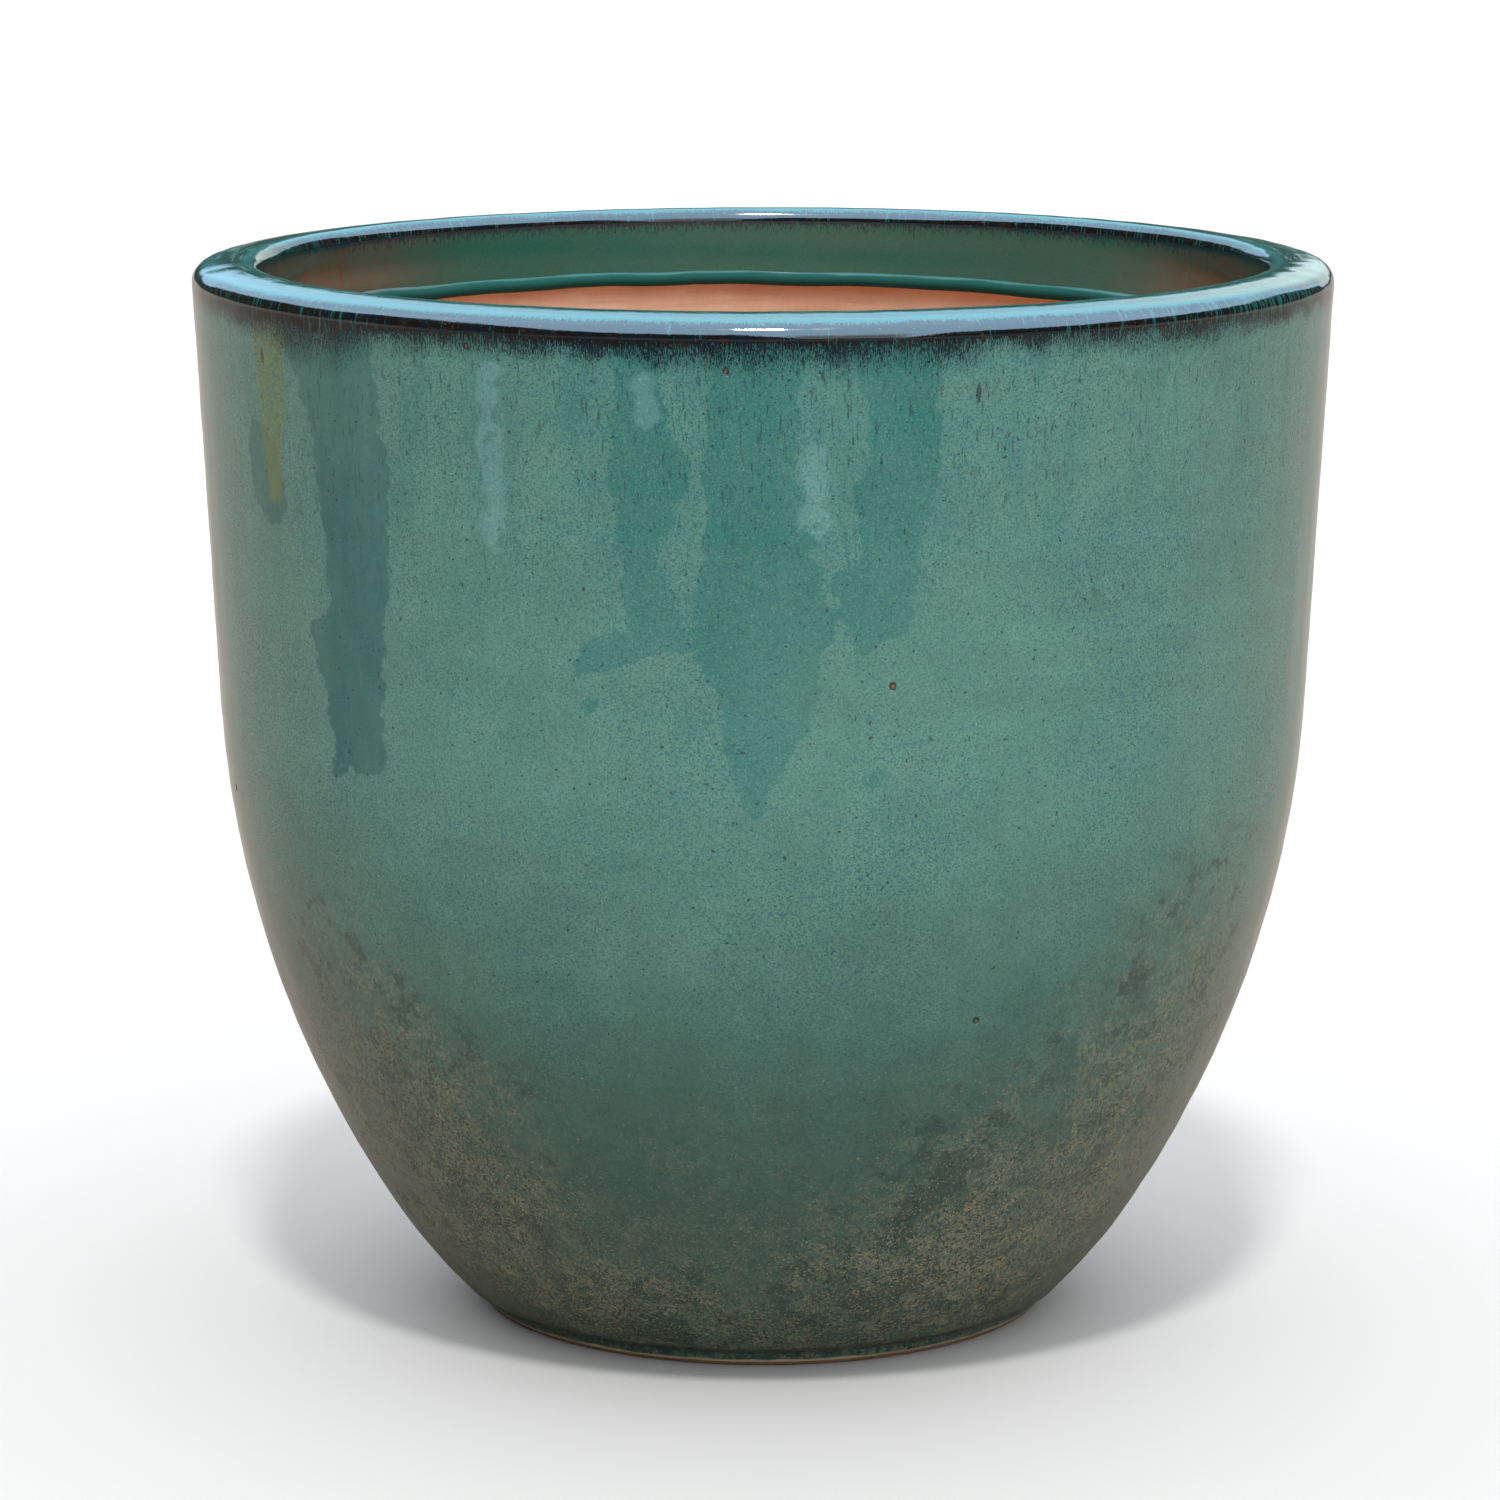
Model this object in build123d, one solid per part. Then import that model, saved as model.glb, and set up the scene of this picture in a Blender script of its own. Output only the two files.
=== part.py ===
from build123d import *
import os
from math import asin, cos, degrees, radians, sin, sqrt, tan

# A round glazed planter of red clay, 620 mm across. Millimetres, +Z up, with the
# origin at the centre of the foot, on the ground. The potter joins three pieces of
# clay, a dished floor slab, the wall and a thick ring for the lip, and three coats of
# glaze cover them. Every piece is a closed outline of (radius, height) points, spun
# about Z. A depth is measured square to the glazed surface, into the clay.

# Driving dimensions
HEIGHT = 581.0  # ground to the crown of the lip
RIM_RADIUS = 310.2  # outside of the lip, where its rounded shoulder begins
MOUTH_RADIUS = 273.4  # glazed inside face of the lip
WALL = 22.0  # thickness of the wall with its glaze
GLAZE = 1.0  # thickness of each coat of glaze

DRAFT = 3.0  # degrees that the straight upper wall leans outwards
BELLY_TOP = 341.0  # height where the upper wall turns into the belly
BELLY_CURVE = 575.0  # radius of the belly's gentle curve
BELLY_END = 32.6  # degrees below level where the lower curve takes over
LOWER_CURVE = 299.0  # radius of the tighter curve down to the foot

OUTER_SHOULDER = 9.5  # rounding of the lip's outside edge
INNER_SHOULDER = 7.5  # rounding of the lip's inside edge
TOP_CURVE = 105.0  # radius of the lip's top, which falls gently towards the outside
BEAD_RADIUS = 4.6  # rolled bead along the bottom of the lip's inside face
BEAD_HEIGHT = 540.0  # ground to the middle of the bead
BEAD_INSET = 1.8  # how far the bead's centre lies outside the inside face
RIM_JOINT = 524.0  # height where the bevelled joint under the lip meets the outside

FOOT_RADIUS = 161.0  # outside of the foot ring at its top
FOOT_TAPER = 3.5  # how much narrower the foot ring is on the ground
FOOT_NECK = 8.0  # ground to the top of the foot ring's side
BELLY_EDGE = 12.0  # ground to the crease where the lower curve ends
FOOT_CHAMFER = 1.2  # worn edge round the ground
FOOT_WIDTH = 27.0  # width of the ring that stands on the ground
BARE_EDGE = 2.5  # band above the ground that the glaze leaves bare
RECESS = 5.0  # depth of the hollow underside inside the foot ring
RECESS_SLOPE = 4.0  # how far the hollow's side slopes inwards

FLOOR_TOP = 33.0  # ground to the planting floor
CORNER = 34.0  # rounding between the planting floor and the wall
DRAIN_RADIUS = 17.0  # hole through the middle of the floor


def on_curve(centre, radius, angle):
    """Point on a circle at an angle in degrees below level."""
    turn = radians(angle)
    return (centre[0] + radius * cos(turn), centre[1] - radius * sin(turn))


def curve(centre, radius, start, end):
    """Arc of a circle between two angles below level."""
    middle = (start + end) / 2
    points = [on_curve(centre, radius, angle) for angle in (start, middle, end)]
    return ThreePointArc(*points)


def dip(centre, radius, height):
    """Angle below level at which a circle passes a height."""
    return degrees(asin((centre[1] - height) / radius))


# Centres of the curves, each tangent to its neighbour
INNER_CENTRE = (MOUTH_RADIUS + INNER_SHOULDER, HEIGHT - INNER_SHOULDER)
TOP_CENTRE = (INNER_CENTRE[0], HEIGHT - TOP_CURVE)
SHOULDER_REACH = RIM_RADIUS - OUTER_SHOULDER * cos(radians(DRAFT)) - TOP_CENTRE[0]
TOP_SLOPE = degrees(asin(SHOULDER_REACH / (TOP_CURVE - OUTER_SHOULDER)))
OUTER_CENTRE = on_curve(TOP_CENTRE, TOP_CURVE - OUTER_SHOULDER, TOP_SLOPE - 90)
SHOULDER_FOOT = OUTER_CENTRE[1] - OUTER_SHOULDER * sin(radians(DRAFT))
BEAD_CENTRE = (MOUTH_RADIUS + BEAD_INSET, BEAD_HEIGHT)
BELLY_START = (RIM_RADIUS - (SHOULDER_FOOT - BELLY_TOP) * tan(radians(DRAFT)), BELLY_TOP)
BELLY_CENTRE = on_curve(BELLY_START, -BELLY_CURVE, DRAFT)
LOWER_CENTRE = on_curve(BELLY_CENTRE, BELLY_CURVE - LOWER_CURVE, BELLY_END)

# The corner's circle touches the planting floor and the inside of the wall.
CORNER_HEIGHT = FLOOR_TOP + CORNER
CORNER_REACH = LOWER_CURVE - WALL - CORNER
CORNER_ANGLE = dip(LOWER_CENTRE, CORNER_REACH, CORNER_HEIGHT)
CORNER_CENTRE = on_curve(LOWER_CENTRE, CORNER_REACH, CORNER_ANGLE)

LIP_UNDERSIDE = BEAD_HEIGHT - BEAD_RADIUS + GLAZE
UP = -90  # straight up, as an angle below level
INWARDS = -180
DOWN = -270


def spin(edges):
    """Solid of revolution about Z of a closed outline of (radius, height) edges."""
    return revolve(Plane.XZ * make_face(edges), Axis.Z)


def path(*points):
    """Straight edges through points."""
    return [Line(start, end) for start, end in zip(points, points[1:])]


def upper_wall(height, depth):
    """Point of the straight upper wall at a height and depth."""
    lean = (SHOULDER_FOOT - height) * tan(radians(DRAFT))
    return (RIM_RADIUS - lean - depth / cos(radians(DRAFT)), height)


def wall_face(depth, low_angle, top):
    """Edges of the wall at a depth, from an angle on the lower curve up to a point."""
    lower = curve(LOWER_CENTRE, LOWER_CURVE - depth, low_angle, BELLY_END)
    belly = curve(BELLY_CENTRE, BELLY_CURVE - depth, BELLY_END, DRAFT)
    straight = Line(on_curve(BELLY_CENTRE, BELLY_CURVE - depth, DRAFT), top)
    return [lower, belly, straight]


def foot_side(depth, low):
    """Point on the foot ring's tapering side at a depth and height."""
    taper = FOOT_TAPER * (1 - low / FOOT_NECK)
    return (FOOT_RADIUS - taper - depth, low)


def crease_angle(depth):
    """Angle where the lower curve ends above the foot ring."""
    return dip(LOWER_CENTRE, LOWER_CURVE - depth, BELLY_EDGE)


def foot_face(depth, low):
    """Edges of the foot ring and the crease above it, from a height upwards."""
    neck = foot_side(depth, FOOT_NECK)
    crease = on_curve(LOWER_CENTRE, LOWER_CURVE - depth, crease_angle(depth))
    return path(foot_side(depth, low), neck, crease)


def lip_face(depth):
    """Edges over the lip, from the outside shoulder to the inside one."""
    outer = curve(OUTER_CENTRE, OUTER_SHOULDER - depth, DRAFT, TOP_SLOPE + UP)
    top = curve(TOP_CENTRE, TOP_CURVE - depth, TOP_SLOPE + UP, UP)
    inner = curve(INNER_CENTRE, INNER_SHOULDER - depth, UP, INWARDS)
    return [outer, top, inner]


def collar_face(depth):
    """Edges down the inside face of the lip and round its bead."""
    radius = BEAD_RADIUS - depth
    rise = sqrt(radius**2 - (BEAD_INSET - depth) ** 2)
    bead = curve(BEAD_CENTRE, radius, INWARDS + degrees(asin(rise / radius)), DOWN)
    face = Line(on_curve(INNER_CENTRE, INNER_SHOULDER - depth, INWARDS), bead @ 0)
    return [face, bead]


def coat(face):
    """Coat of glaze between the surface and the clay, with a square edge at each end."""
    surface = face(0)
    clay = face(GLAZE)
    ends = [Line(surface[0] @ 0, clay[0] @ 0), Line(surface[-1] @ 1, clay[-1] @ 1)]
    return spin(surface + clay + ends)


def body_face(depth):
    """Edges of the whole outside, from the bare edge to the lip's shoulder."""
    shoulder = on_curve(OUTER_CENTRE, OUTER_SHOULDER - depth, DRAFT)
    return foot_face(depth, BARE_EDGE) + wall_face(depth, crease_angle(depth), shoulder)


def make_floor_slab():
    """Dished slab with the foot ring, the drain hole and the turned-up corner."""
    ground = foot_side(GLAZE, 0)[0]
    underside = path(
        (DRAIN_RADIUS, FLOOR_TOP),
        (DRAIN_RADIUS, RECESS),
        (ground - FOOT_WIDTH - RECESS_SLOPE, RECESS),
        (ground - FOOT_WIDTH, 0),
        (ground - FOOT_CHAMFER, 0),
        foot_side(GLAZE, FOOT_CHAMFER),
    )
    outside = curve(LOWER_CENTRE, LOWER_CURVE - GLAZE, crease_angle(GLAZE), CORNER_ANGLE)
    corner = curve(CORNER_CENTRE, CORNER, CORNER_ANGLE, -UP)
    joint = Line(outside @ 1, corner @ 0)
    floor = Line(corner @ 1, (DRAIN_RADIUS, FLOOR_TOP))
    return spin(underside + foot_face(GLAZE, FOOT_CHAMFER) + [outside, joint, corner, floor])


def make_wall():
    """Wall from the slab's joint to the bevelled joint under the lip."""
    outside = wall_face(GLAZE, CORNER_ANGLE, upper_wall(RIM_JOINT, GLAZE))
    inside = wall_face(WALL, CORNER_ANGLE, upper_wall(LIP_UNDERSIDE, WALL))
    slab_joint = Line(outside[0] @ 0, inside[0] @ 0)
    rim_joint = Line(outside[-1] @ 1, inside[-1] @ 1)
    return spin(outside + inside + [slab_joint, rim_joint])


def make_rim_ring():
    """Thick ring of the lip, overhanging the wall's inside, with its rolled bead."""
    lip = lip_face(GLAZE)
    collar = collar_face(GLAZE)
    edge = path(
        collar[-1] @ 1,
        upper_wall(LIP_UNDERSIDE, WALL),
        upper_wall(RIM_JOINT, GLAZE),
        lip[0] @ 0,
    )
    return spin(lip + collar + edge)


pieces = {
    "floor_slab": make_floor_slab(),
    "wall": make_wall(),
    "rim_ring": make_rim_ring(),
    "body_glaze": coat(body_face),
    "rim_glaze": coat(lip_face),
    "collar_glaze": coat(collar_face),
}

os.makedirs("parts", exist_ok=True)
for name, piece in pieces.items():
    export_step(piece, f"parts/{name}.step")
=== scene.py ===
from math import asin, cos, degrees, pi, radians, sin, sqrt, tan

import bpy
import numpy as np
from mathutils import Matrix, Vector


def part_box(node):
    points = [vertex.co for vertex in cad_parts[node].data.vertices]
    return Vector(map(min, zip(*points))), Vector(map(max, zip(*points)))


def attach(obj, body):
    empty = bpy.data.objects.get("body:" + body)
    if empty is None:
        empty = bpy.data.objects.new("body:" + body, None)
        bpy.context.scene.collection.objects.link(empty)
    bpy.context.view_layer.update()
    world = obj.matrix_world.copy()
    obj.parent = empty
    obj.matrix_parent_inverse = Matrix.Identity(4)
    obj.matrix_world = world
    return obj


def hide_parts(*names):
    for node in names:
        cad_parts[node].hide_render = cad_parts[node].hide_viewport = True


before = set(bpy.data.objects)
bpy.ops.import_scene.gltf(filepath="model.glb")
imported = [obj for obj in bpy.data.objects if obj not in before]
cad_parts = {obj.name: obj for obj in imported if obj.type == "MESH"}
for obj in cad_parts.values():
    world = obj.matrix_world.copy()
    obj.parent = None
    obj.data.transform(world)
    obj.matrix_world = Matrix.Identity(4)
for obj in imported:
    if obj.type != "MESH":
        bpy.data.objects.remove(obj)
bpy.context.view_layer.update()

# A large glazed planter. The outlines below are the CAD model's, worked out from the
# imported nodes' boxes and a few of its dimensions, in millimetres. The meshes that are
# spun from them add what a kiln and a garden add. Everything is handed to Blender in
# metres.

MM = 0.001


def top_of(node):
    """Height of a node's top, in millimetres."""
    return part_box(node)[1].z / MM


# ---------------------------------------------------------------- dimensions, mm
HEIGHT = top_of("rim_glaze")
RIM_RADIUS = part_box("body_glaze")[1].x / MM
MOUTH_RADIUS = 273.4
WALL = 22.0
GLAZE = 1.0
DRAFT = 3.0
BELLY_TOP = 341.0
BELLY_CURVE = 575.0
BELLY_END = 32.6
LOWER_CURVE = 299.0
OUTER_SHOULDER = 9.5
INNER_SHOULDER = 7.5
TOP_CURVE = 105.0
BEAD_RADIUS = 4.6
BEAD_HEIGHT = 540.0
BEAD_INSET = 1.8
RIM_JOINT = 524.0
FOOT_RADIUS = 161.0
FOOT_TAPER = 3.5
FOOT_NECK = 8.0
BELLY_EDGE = 12.0
FOOT_CHAMFER = 1.2
FOOT_WIDTH = 27.0
BARE_EDGE = 2.5
RECESS = 5.0
RECESS_SLOPE = 4.0
FLOOR_TOP = 33.0
CORNER = 34.0
DRAIN_RADIUS = 17.0

SEGMENTS = 400  # faces round every coat
UP, INWARDS, DOWN = -90, -180, -270


# ---------------------------------------------------------------- outlines
def on_curve(centre, radius, angle):
    """Point on a circle at an angle in degrees below level."""
    turn = radians(angle)
    return (centre[0] + radius * cos(turn), centre[1] - radius * sin(turn))


def dip(centre, radius, height):
    """Angle below level at which a circle passes a height."""
    return degrees(asin((centre[1] - height) / radius))


def arc(centre, radius, start, end, step):
    """Points along an arc, about step apart."""
    count = max(3, round(abs(radians(end - start)) * radius / step))
    return [on_curve(centre, radius, a) for a in np.linspace(start, end, count + 1)]


def line(start, end, step):
    """Points along a straight line, about step apart."""
    count = max(1, round(np.hypot(end[0] - start[0], end[1] - start[1]) / step))
    return [tuple(p) for p in np.linspace(start, end, count + 1)]


def join(*runs):
    """One run of points, without the repeats where runs meet."""
    points = []
    for run in runs:
        points += run if not points else run[1:]
    return points


INNER_CENTRE = (MOUTH_RADIUS + INNER_SHOULDER, HEIGHT - INNER_SHOULDER)
TOP_CENTRE = (INNER_CENTRE[0], HEIGHT - TOP_CURVE)
SHOULDER_REACH = RIM_RADIUS - OUTER_SHOULDER * cos(radians(DRAFT)) - TOP_CENTRE[0]
TOP_SLOPE = degrees(asin(SHOULDER_REACH / (TOP_CURVE - OUTER_SHOULDER)))
OUTER_CENTRE = on_curve(TOP_CENTRE, TOP_CURVE - OUTER_SHOULDER, TOP_SLOPE - 90)
SHOULDER_FOOT = OUTER_CENTRE[1] - OUTER_SHOULDER * sin(radians(DRAFT))
BEAD_CENTRE = (MOUTH_RADIUS + BEAD_INSET, BEAD_HEIGHT)
BELLY_START = (RIM_RADIUS - (SHOULDER_FOOT - BELLY_TOP) * tan(radians(DRAFT)), BELLY_TOP)
BELLY_CENTRE = on_curve(BELLY_START, -BELLY_CURVE, DRAFT)
LOWER_CENTRE = on_curve(BELLY_CENTRE, BELLY_CURVE - LOWER_CURVE, BELLY_END)
CORNER_REACH = LOWER_CURVE - WALL - CORNER
CORNER_ANGLE = dip(LOWER_CENTRE, CORNER_REACH, FLOOR_TOP + CORNER)
CORNER_CENTRE = on_curve(LOWER_CENTRE, CORNER_REACH, CORNER_ANGLE)
LIP_UNDERSIDE = BEAD_HEIGHT - BEAD_RADIUS + GLAZE


def upper_wall(height, depth):
    """Point of the straight upper wall at a height and a depth under the glaze."""
    lean = (SHOULDER_FOOT - height) * tan(radians(DRAFT))
    return (RIM_RADIUS - lean - depth / cos(radians(DRAFT)), height)


def wall_face(depth, low_angle, top, step):
    """Wall at a depth, from an angle on the lower curve up to a point."""
    lower = arc(LOWER_CENTRE, LOWER_CURVE - depth, low_angle, BELLY_END, step)
    belly = arc(BELLY_CENTRE, BELLY_CURVE - depth, BELLY_END, DRAFT, step)
    return join(lower, belly, line(belly[-1], top, step))


def foot_side(depth, height):
    """Point on the foot ring's tapering side."""
    return (FOOT_RADIUS - FOOT_TAPER * (1 - height / FOOT_NECK) - depth, height)


def body_face(depth, step):
    """Whole outside at a depth, from the bare edge to the lip's shoulder."""
    crease_angle = dip(LOWER_CENTRE, LOWER_CURVE - depth, BELLY_EDGE)
    crease = on_curve(LOWER_CENTRE, LOWER_CURVE - depth, crease_angle)
    neck = foot_side(depth, FOOT_NECK)
    foot = line(foot_side(depth, BARE_EDGE), neck, step / 2)
    shoulder = on_curve(OUTER_CENTRE, OUTER_SHOULDER - depth, DRAFT)
    return join(foot, line(neck, crease, step / 2), wall_face(depth, crease_angle, shoulder, step))


def lip_face(depth, step):
    """Over the lip at a depth, from the outside shoulder to the inside one."""
    outer = arc(OUTER_CENTRE, OUTER_SHOULDER - depth, DRAFT, TOP_SLOPE + UP, step)
    top = arc(TOP_CENTRE, TOP_CURVE - depth, TOP_SLOPE + UP, UP, step)
    inner = arc(INNER_CENTRE, INNER_SHOULDER - depth, UP, INWARDS, step)
    return join(outer, top, inner)


def collar_face(depth, step):
    """Down the inside face of the lip and round its bead, at a depth."""
    radius = BEAD_RADIUS - depth
    rise = sqrt(radius**2 - (BEAD_INSET - depth) ** 2)
    bead = arc(BEAD_CENTRE, radius, INWARDS + degrees(asin(rise / radius)), DOWN, step / 2)
    return join(line(on_curve(INNER_CENTRE, INNER_SHOULDER - depth, INWARDS), bead[0], step), bead)


# ---------------------------------------------------------------- unevenness
chance = np.random.default_rng(41)


def ripples(count, turns, pitch, size):
    """A smooth uneven height over a pot, from count waves of random phase.

    turns is the range of whole waves round the pot, and pitch the range of their
    lengths along the outline, in millimetres.
    """
    around = chance.integers(turns[0], turns[1] + 1, count)
    along = 2 * pi / chance.uniform(pitch[0], pitch[1], count) * chance.choice([-1, 1], count)
    phase = chance.uniform(0, 2 * pi, count)
    share = size / sqrt(count / 2)

    def height(angle, distance):
        total = np.zeros(np.broadcast(angle, distance).shape)
        for n, k, p in zip(around, along, phase):
            total += share * np.cos(n * angle + k * distance + p)
        return total

    return height


kiln_sag = ripples(6, (2, 4), (500, 1400), 0.16)  # the whole pot a little out of round
shaping = ripples(10, (0, 3), (16, 60), 0.05)  # faint level ridges from the wheel
glaze_flow = ripples(24, (14, 70), (90, 500), 0.05)  # runs of glaze down the wall
lip_roll = ripples(10, (3, 24), (20, 60), 0.09)  # the potter's touch on bare clay
bead_sag = ripples(12, (1, 26), (300, 900), 0.3)  # the bead's height wanders


# ---------------------------------------------------------------- meshes
OUTLINE = np.array(body_face(0.0, 3.0))


def outside_radius(height):
    """Radius of the glazed outside at a height."""
    return np.interp(height, OUTLINE[:, 1], OUTLINE[:, 0])


def measure(points):
    """Distance along a run of points, and each point's normal, to the right of the run."""
    points = np.array(points, float)
    steps = np.hypot(*np.diff(points, axis=0).T)
    distance = np.concatenate([[0.0], np.cumsum(steps)])
    tangent = np.gradient(points, axis=0)
    tangent /= np.linalg.norm(tangent, axis=1)[:, None]
    normal = np.stack([tangent[:, 1], -tangent[:, 0]], axis=1)
    return points, distance, normal


def spin(name, radius, height, material, marks=None):
    """A closed ring-shaped mesh from grids of radius and height, round by along."""
    rings, along = radius.shape
    angle = np.arange(rings) * 2 * pi / rings
    x = radius * np.sin(angle)[:, None]
    y = -radius * np.cos(angle)[:, None]
    points = np.stack([x, y, height], axis=2).reshape(-1, 3) * MM
    first = np.arange(rings * along).reshape(rings, along)
    right = np.roll(first, -1, axis=0)
    above = np.roll(first, -1, axis=1)
    corner = np.roll(right, -1, axis=1)
    faces = np.stack([first, right, corner, above], axis=2).reshape(-1, 4)
    mesh = bpy.data.meshes.new(name)
    mesh.from_pydata(points.tolist(), [], faces.tolist())
    mesh.shade_smooth()
    mesh.set_sharp_from_angle(angle=radians(50))
    mesh.materials.append(material)
    for mark, values in (marks or {}).items():
        layer = mesh.attributes.new(mark, "FLOAT", "POINT")
        layer.data.foreach_set("value", values.astype(np.float32).ravel())
    piece = bpy.data.objects.new(name, mesh)
    bpy.context.collection.objects.link(piece)
    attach(piece, "root")
    return piece


def coat(name, face, start, relief, step, material, marks):
    """A coat of glaze: its uneven surface, two square ends and its back on the clay.

    start is the distance along the whole outline where this coat begins, so that
    neighbouring coats share their unevenness where they meet.
    """
    surface, distance, normal = measure(face(0.0, step))
    back = np.array(face(GLAZE, step * 6), float)[::-1]
    angle = (np.arange(SEGMENTS) * 2 * pi / SEGMENTS)[:, None]
    reach = distance[None, :] + start
    height = relief(angle, reach)
    radius = surface[None, :, 0] + normal[None, :, 0] * height
    level = surface[None, :, 1] + normal[None, :, 1] * height
    whole = np.ones((SEGMENTS, 1))
    radius = np.concatenate([radius, whole * back[None, :, 0]], axis=1)
    level = np.concatenate([level, whole * back[None, :, 1]], axis=1)
    if face is collar_face:
        level = level - bead_drop(angle, level)
    heading = (np.degrees(angle) + 180) % 360 - 180
    front = {mark: make(heading, surface[None, :, 1], reach) for mark, make in marks.items()}
    layers = {mark: np.pad(v, ((0, 0), (0, len(back))), mode="edge") for mark, v in front.items()}
    return spin(name, radius, level, material, layers), start + distance[-1]


SETTLE = 0.45  # the glaze lies this far inside its outline, so that nothing stands proud


def outside_relief(angle, distance):
    """Unevenness of the glaze over the outside and the lip."""
    uneven = kiln_sag(angle, distance) + shaping(angle, distance) + glaze_flow(angle, distance)
    return np.clip(uneven - SETTLE, -0.8, 0.0)


SAG_HEADING = 125  # degrees round from the front, where the bead sags the most
SAG_DEPTH = 3.2
SAG_SPREAD = 38  # degrees


def bead_drop(angle, level):
    """How far the bead hangs below its true height, in millimetres."""
    turn = (np.degrees(angle) - SAG_HEADING + 180) % 360 - 180
    sag = SAG_DEPTH * np.exp(-((turn / SAG_SPREAD) ** 2))
    hang = sag + np.clip(bead_sag(angle, 0 * angle), -0.4, 1.0)
    below_lip = np.clip((BEAD_HEIGHT + 16 - level) / 10, 0, 1)
    above_joint = np.clip((level - RIM_JOINT) / 8, 0, 1)
    return hang * below_lip * above_joint


# ---------------------------------------------------------------- where the marks are
# Angles are in degrees round the pot from its front, positive towards +X, and heights
# in millimetres. A run lists its edges from its bottom up, as (height, left, right).
# The deep and faint runs are painted reflections of dark things around the pot, drawn as glaze washed
# clean of its pale film.
DEEP_REFLECTION_RUNS = [
    [
        (335, -48, -41),
        (375, -49, -40),
        (410, -51, -39.5),
        (416, -47.5, -39),
        (505, -49, -38.5),
        (566, -53, -40),
    ],
    [(456, -58.5, -56), (470, -60.5, -54), (496, -61, -55), (510, -60.5, -58)],
    [(300, 101, 104), (350, 98, 108), (470, 99, 106), (566, 97, 108)],
    [(455, -172, -168), (520, -173, -166), (566, -172, -165)],
    [(310, -141, -139), (360, -146, -135), (480, -144, -136), (566, -145, -134)],
]
FAINT_REFLECTION_RUNS = [
    [
        (322, -1, -0.5),
        (350, -2.5, 1.5),
        (380, -4, 5),
        (430, -7, 7),
        (470, -6, 5),
        (505, -5.5, 3),
        (566, -5, 4),
    ],
    [
        (413, -13, -5),
        (430, -13, -8),
        (460, -13.5, -9.5),
        (500, -15, -7),
        (540, -13.5, -9.5),
        (566, -14, -10),
    ],
    [
        (417, 12, 13.3),
        (430, 10, 14.2),
        (465, 9, 15.2),
        (497, 8, 16.5),
        (510, 10, 16.5),
        (566, 8, 16),
    ],
    [(418, 11.5, 13), (428, 7, 13.8), (445, 6, 14.5), (461, 8, 14)],
    [(398, -18, -17), (405, -18.3, -12.5), (413, -18, -9), (421, -16, -6)],
    [(374, -17.5, -16.5), (381, -18, -15.8), (388, -17.5, -15)],
    [(409, 9, 10.5), (426, 7.5, 11.5)],
    [(338, 10.5, 11.5), (349, 8.5, 12)],
    [(388, 76, 79), (440, 74, 81), (566, 73, 80)],
    [(430, 128, 131), (500, 126, 133), (566, 126, 134)],
    [(350, 152, 156), (380, 150, 161), (455, 152, 160), (566, 151, 163)],
    [(405, -118, -116), (470, -120, -113), (566, -121, -112)],
    [(360, -93, -90), (390, -96, -86), (480, -94, -87), (566, -95, -86)],
]
OLIVE_RUNS = [
    [(467, -57.5, -54.8), (520, -58.6, -52.8), (572, -59.4, -52.2)],
    [(440, 112, 113), (500, 111, 116), (572, 110, 116)],
    [(500, -104, -102.5), (572, -105, -100)],
]
# Lines of mineral left by trickling water, as (angle, lowest height, highest height).
TRICKLES = [(-26.3, 466, 548), (4.9, 478, 514), (-10.8, 531, 548), (141, 460, 540), (-129, 430, 490)]
# Soil dried on the lower wall, as (angle, height, half width, half height) of a patch.
SOIL_PATCHES = [
    (34, 60, 120, 70),
    (31, 95, 66, 82),
    (52, 150, 90, 140),
    (-50, 130, 100, 130),
    (-30, 40, 110, 45),
    (100, 80, 140, 90),
    (165, 60, 130, 80),
    (-150, 100, 120, 110),
    (-95, 70, 120, 70),
]
# Places where that soil has been rubbed off again, given in the same way.
RUBBED_PATCHES = [
    (24, 118, 15, 17),
    (20, 112, 8, 22),
    (17, 48, 34, 11),
    (10, 44, 16, 9),
    (36, 181, 13, 11),
    (42, 214, 15, 8),
    (-19, 26, 20, 16),
    (-44, 92, 16, 12),
    (98, 110, 22, 15),
    (150, 70, 30, 14),
    (-140, 120, 18, 12),
    (-74, 84, 24, 10),
]
# Bare pinholes in the glaze, and dark drops of it, as (angle, height).
PINHOLES = [(12.5, 394), (23.3, 213), (-3.4, 554), (-28.6, 562), (95, 420), (-160, 380), (-75, 300)]
DROPS = [(20.3, 541), (-57, 545), (120, 535), (-140, 520)]
RUN_TOPS = 560.0  # runs that reach this height go on to the shoulder
FAR_OUTSIDE = -30.0  # a mark's depth far from everything it marks
DEEPEST = 12  # a run's depth is counted no further in than this


def inside_runs(runs):
    """A mark that gives the distance inside the nearest of some runs, in millimetres."""

    def depth(heading, height, reach):
        best = np.full(np.broadcast(heading, height).shape, FAR_OUTSIDE)
        for run in runs:
            levels, left, right = np.array(run, float).T
            low_side = np.interp(height, levels, left)
            high_side = np.interp(height, levels, right)
            across = np.minimum(heading - low_side, high_side - heading)
            across = across * outside_radius(height) * pi / 180
            above = levels[-1] - height if levels[-1] < RUN_TOPS else DEEPEST + 0 * height
            ends = np.minimum(np.minimum(height - levels[0], above), DEEPEST)
            best = np.maximum(best, np.minimum(across, ends))
        return best

    return depth


def inside_patches(patches):
    """A mark that gives the distance inside the nearest of some oval patches."""

    def depth(heading, height, reach):
        best = np.full(np.broadcast(heading, height).shape, FAR_OUTSIDE)
        for angle, level, wide, tall in patches:
            turn = (heading - angle + 180) % 360 - 180
            across = turn * outside_radius(height) * pi / 180
            inside = 1 - np.hypot(across / wide, (height - level) / tall)
            best = np.maximum(best, inside * min(wide, tall))
        return best

    return depth


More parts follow.
